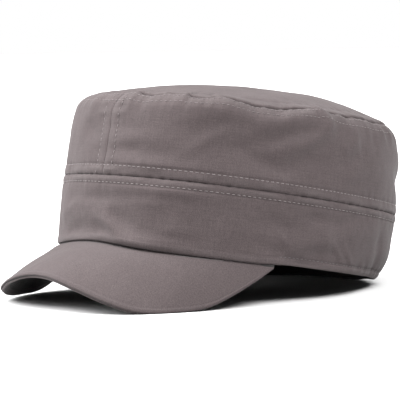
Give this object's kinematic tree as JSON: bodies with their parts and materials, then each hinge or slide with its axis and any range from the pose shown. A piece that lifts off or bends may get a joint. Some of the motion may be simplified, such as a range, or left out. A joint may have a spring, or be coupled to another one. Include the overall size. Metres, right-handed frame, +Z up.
{
  "type": "patrol cap",
  "caption": "Soft cotton patrol cap with an upright oval crown, a domed top panel, a band round the head and a short curved peak, resting by itself.",
  "frame": {"origin": "middle of the cap's box, on the surface it rests on", "axes": "+Z up, the front with the peak looks along -Y, the wearer's left is +X"},
  "size_m": [0.1716, 0.2496, 0.1199],
  "materials": {
    "cloth": "matt grey taupe cotton twill",
    "underside_cloth": "matt dark cotton"
  },
  "bodies": {
    "root": {"lower_band": "cloth", "crown_left": "cloth", "crown_right": "cloth", "top_panel": "cloth", "peak_cover": "cloth", "peak_underside": "underside_cloth"}
  },
  "joints": []
}
